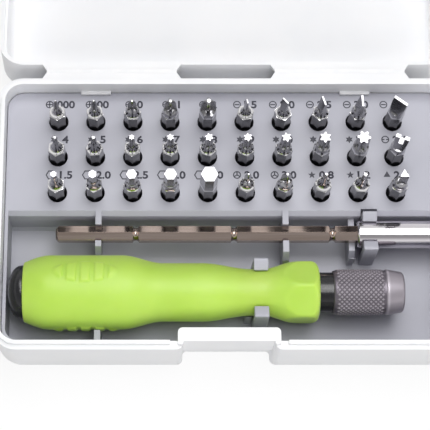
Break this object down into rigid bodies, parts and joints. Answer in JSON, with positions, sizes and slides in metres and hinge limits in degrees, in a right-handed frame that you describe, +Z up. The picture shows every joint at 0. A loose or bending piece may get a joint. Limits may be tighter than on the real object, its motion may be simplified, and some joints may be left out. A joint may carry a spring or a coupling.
{
  "type": "precision screwdriver set",
  "caption": "Hinged plastic case with a moulded tray of small hexagonal bits, an extension rod and a quick-release driver with a soft grip and swivel cap.",
  "frame": {"origin": "centre of the base's underside, on the surface that it stands on", "axes": "+X along the driver from its end cap to its chuck, +Y from the latch to the hinge and over the open lid, +Z up"},
  "size_m": [0.1224, 0.1527, 0.0346],
  "materials": {
    "case_plastic": "satin",
    "tray_plastic": "satin",
    "grip_rubber": "satin",
    "black_plastic": "gloss",
    "collar_metal": "satin",
    "bright_steel": "satin",
    "rod_steel": "satin",
    "socket_chrome": "polished",
    "magnet": "matte",
    "bit_steel": "satin"
  },
  "bodies": {
    "case": {"case_base": "case_plastic", "hinge_films": "case_plastic", "bit_tray": "tray_plastic", "tool_tray": "tray_plastic", "tray_walls": "tray_plastic", "tray_ribs": "tray_plastic", "driver_clip": "tray_plastic", "rod_clip": "tray_plastic"},
    "lid": {"case_lid": "case_plastic"},
    "driver": {"handle_core": "black_plastic", "handle_grip": "grip_rubber", "cap_pin": "bright_steel", "chuck_sleeve": "bright_steel", "collar_spring": "bright_steel", "stop_ring": "bright_steel"},
    "end_cap": {"end_cap": "black_plastic"},
    "collar": {"chuck_collar": "collar_metal"},
    "ball": {"lock_ball": "bright_steel"},
    "rod": {"extension_rod": "rod_steel", "rod_socket": "socket_chrome", "socket_magnet": "magnet"},
    "bit_cross_000": {"bit_cross_000": "bit_steel"},
    "bit_cross_00": {"bit_cross_00": "bit_steel"},
    "bit_cross_0": {"bit_cross_0": "bit_steel"},
    "bit_cross_1": {"bit_cross_1": "bit_steel"},
    "bit_cross_2": {"bit_cross_2": "bit_steel"},
    "bit_slot_1_5": {"bit_slot_1_5": "bit_steel"},
    "bit_slot_2_0": {"bit_slot_2_0": "bit_steel"},
    "bit_slot_2_5": {"bit_slot_2_5": "bit_steel"},
    "bit_slot_3_0": {"bit_slot_3_0": "bit_steel"},
    "bit_slot_4_0": {"bit_slot_4_0": "bit_steel"},
    "bit_star_4": {"bit_star_4": "bit_steel"},
    "bit_star_5": {"bit_star_5": "bit_steel"},
    "bit_star_6": {"bit_star_6": "bit_steel"},
    "bit_star_7": {"bit_star_7": "bit_steel"},
    "bit_star_8": {"bit_star_8": "bit_steel"},
    "bit_star_9": {"bit_star_9": "bit_steel"},
    "bit_star_10": {"bit_star_10": "bit_steel"},
    "bit_star_15": {"bit_star_15": "bit_steel"},
    "bit_star_20": {"bit_star_20": "bit_steel"},
    "bit_fork_2_6": {"bit_fork_2_6": "bit_steel"},
    "bit_hex_1_5": {"bit_hex_1_5": "bit_steel"},
    "bit_hex_2_0": {"bit_hex_2_0": "bit_steel"},
    "bit_hex_2_5": {"bit_hex_2_5": "bit_steel"},
    "bit_hex_3_0": {"bit_hex_3_0": "bit_steel"},
    "bit_hex_4_0": {"bit_hex_4_0": "bit_steel"},
    "bit_wing_2_0": {"bit_wing_2_0": "bit_steel"},
    "bit_wing_3_0": {"bit_wing_3_0": "bit_steel"},
    "bit_five_star_0_8": {"bit_five_star_0_8": "bit_steel"},
    "bit_five_star_1_2": {"bit_five_star_1_2": "bit_steel"},
    "bit_triangle_2_3": {"bit_triangle_2_3": "bit_steel"}
  },
  "joints": [
    {"name": "lid_hinge", "type": "hinge", "parent": "case", "child": "lid", "pos_m": [0, 0.039, 0.0231], "axis": [-1, 0, 0], "range_deg": [-187.18, 0]},
    {"name": "driver_lift", "type": "slide", "parent": "case", "child": "driver", "axis": [0, 0, 1], "range_m": [0, 0.03], "deforming": ["driver_clip"]},
    {"name": "rod_lift", "type": "slide", "parent": "case", "child": "rod", "axis": [0, 0, 1], "range_m": [0, 0.03], "deforming": ["rod_clip"]},
    {"name": "collar_slide", "type": "slide", "parent": "driver", "child": "collar", "axis": [-1, 0, 0], "range_m": [0, 0.0032], "stiffness_N_per_m": 600, "springref_m": -0.004, "deforming": ["collar_spring"]},
    {"name": "ball_slide", "type": "slide", "parent": "driver", "child": "ball", "axis": [0, 0, 1], "range_m": [0, 0.0003]},
    {"name": "cap_spin", "type": "hinge", "parent": "driver", "child": "end_cap", "pos_m": [-0.05325, -0.0206, 0.0168], "axis": [1, 0, 0], "continuous": true},
    {"name": "bit_cross_000_lift", "type": "slide", "parent": "case", "child": "bit_cross_000", "axis": [0, 0, 1], "range_m": [0, 0.03]},
    {"name": "bit_cross_00_lift", "type": "slide", "parent": "case", "child": "bit_cross_00", "axis": [0, 0, 1], "range_m": [0, 0.03]},
    {"name": "bit_cross_0_lift", "type": "slide", "parent": "case", "child": "bit_cross_0", "axis": [0, 0, 1], "range_m": [0, 0.03]},
    {"name": "bit_cross_1_lift", "type": "slide", "parent": "case", "child": "bit_cross_1", "axis": [0, 0, 1], "range_m": [0, 0.03]},
    {"name": "bit_cross_2_lift", "type": "slide", "parent": "case", "child": "bit_cross_2", "axis": [0, 0, 1], "range_m": [0, 0.03]},
    {"name": "bit_slot_1_5_lift", "type": "slide", "parent": "case", "child": "bit_slot_1_5", "axis": [0, 0, 1], "range_m": [0, 0.03]},
    {"name": "bit_slot_2_0_lift", "type": "slide", "parent": "case", "child": "bit_slot_2_0", "axis": [0, 0, 1], "range_m": [0, 0.03]},
    {"name": "bit_slot_2_5_lift", "type": "slide", "parent": "case", "child": "bit_slot_2_5", "axis": [0, 0, 1], "range_m": [0, 0.03]},
    {"name": "bit_slot_3_0_lift", "type": "slide", "parent": "case", "child": "bit_slot_3_0", "axis": [0, 0, 1], "range_m": [0, 0.03]},
    {"name": "bit_slot_4_0_lift", "type": "slide", "parent": "case", "child": "bit_slot_4_0", "axis": [0, 0, 1], "range_m": [0, 0.03]},
    {"name": "bit_star_4_lift", "type": "slide", "parent": "case", "child": "bit_star_4", "axis": [0, 0, 1], "range_m": [0, 0.03]},
    {"name": "bit_star_5_lift", "type": "slide", "parent": "case", "child": "bit_star_5", "axis": [0, 0, 1], "range_m": [0, 0.03]},
    {"name": "bit_star_6_lift", "type": "slide", "parent": "case", "child": "bit_star_6", "axis": [0, 0, 1], "range_m": [0, 0.03]},
    {"name": "bit_star_7_lift", "type": "slide", "parent": "case", "child": "bit_star_7", "axis": [0, 0, 1], "range_m": [0, 0.03]},
    {"name": "bit_star_8_lift", "type": "slide", "parent": "case", "child": "bit_star_8", "axis": [0, 0, 1], "range_m": [0, 0.03]},
    {"name": "bit_star_9_lift", "type": "slide", "parent": "case", "child": "bit_star_9", "axis": [0, 0, 1], "range_m": [0, 0.03]},
    {"name": "bit_star_10_lift", "type": "slide", "parent": "case", "child": "bit_star_10", "axis": [0, 0, 1], "range_m": [0, 0.03]},
    {"name": "bit_star_15_lift", "type": "slide", "parent": "case", "child": "bit_star_15", "axis": [0, 0, 1], "range_m": [0, 0.03]},
    {"name": "bit_star_20_lift", "type": "slide", "parent": "case", "child": "bit_star_20", "axis": [0, 0, 1], "range_m": [0, 0.03]},
    {"name": "bit_fork_2_6_lift", "type": "slide", "parent": "case", "child": "bit_fork_2_6", "axis": [0, 0, 1], "range_m": [0, 0.03]},
    {"name": "bit_hex_1_5_lift", "type": "slide", "parent": "case", "child": "bit_hex_1_5", "axis": [0, 0, 1], "range_m": [0, 0.03]},
    {"name": "bit_hex_2_0_lift", "type": "slide", "parent": "case", "child": "bit_hex_2_0", "axis": [0, 0, 1], "range_m": [0, 0.03]},
    {"name": "bit_hex_2_5_lift", "type": "slide", "parent": "case", "child": "bit_hex_2_5", "axis": [0, 0, 1], "range_m": [0, 0.03]},
    {"name": "bit_hex_3_0_lift", "type": "slide", "parent": "case", "child": "bit_hex_3_0", "axis": [0, 0, 1], "range_m": [0, 0.03]},
    {"name": "bit_hex_4_0_lift", "type": "slide", "parent": "case", "child": "bit_hex_4_0", "axis": [0, 0, 1], "range_m": [0, 0.03]},
    {"name": "bit_wing_2_0_lift", "type": "slide", "parent": "case", "child": "bit_wing_2_0", "axis": [0, 0, 1], "range_m": [0, 0.03]},
    {"name": "bit_wing_3_0_lift", "type": "slide", "parent": "case", "child": "bit_wing_3_0", "axis": [0, 0, 1], "range_m": [0, 0.03]},
    {"name": "bit_five_star_0_8_lift", "type": "slide", "parent": "case", "child": "bit_five_star_0_8", "axis": [0, 0, 1], "range_m": [0, 0.03]},
    {"name": "bit_five_star_1_2_lift", "type": "slide", "parent": "case", "child": "bit_five_star_1_2", "axis": [0, 0, 1], "range_m": [0, 0.03]},
    {"name": "bit_triangle_2_3_lift", "type": "slide", "parent": "case", "child": "bit_triangle_2_3", "axis": [0, 0, 1], "range_m": [0, 0.03]}
  ],
  "couplings": [
    {"joint": "ball_slide", "follows": "collar_slide", "ratio": 0.09375}
  ]
}
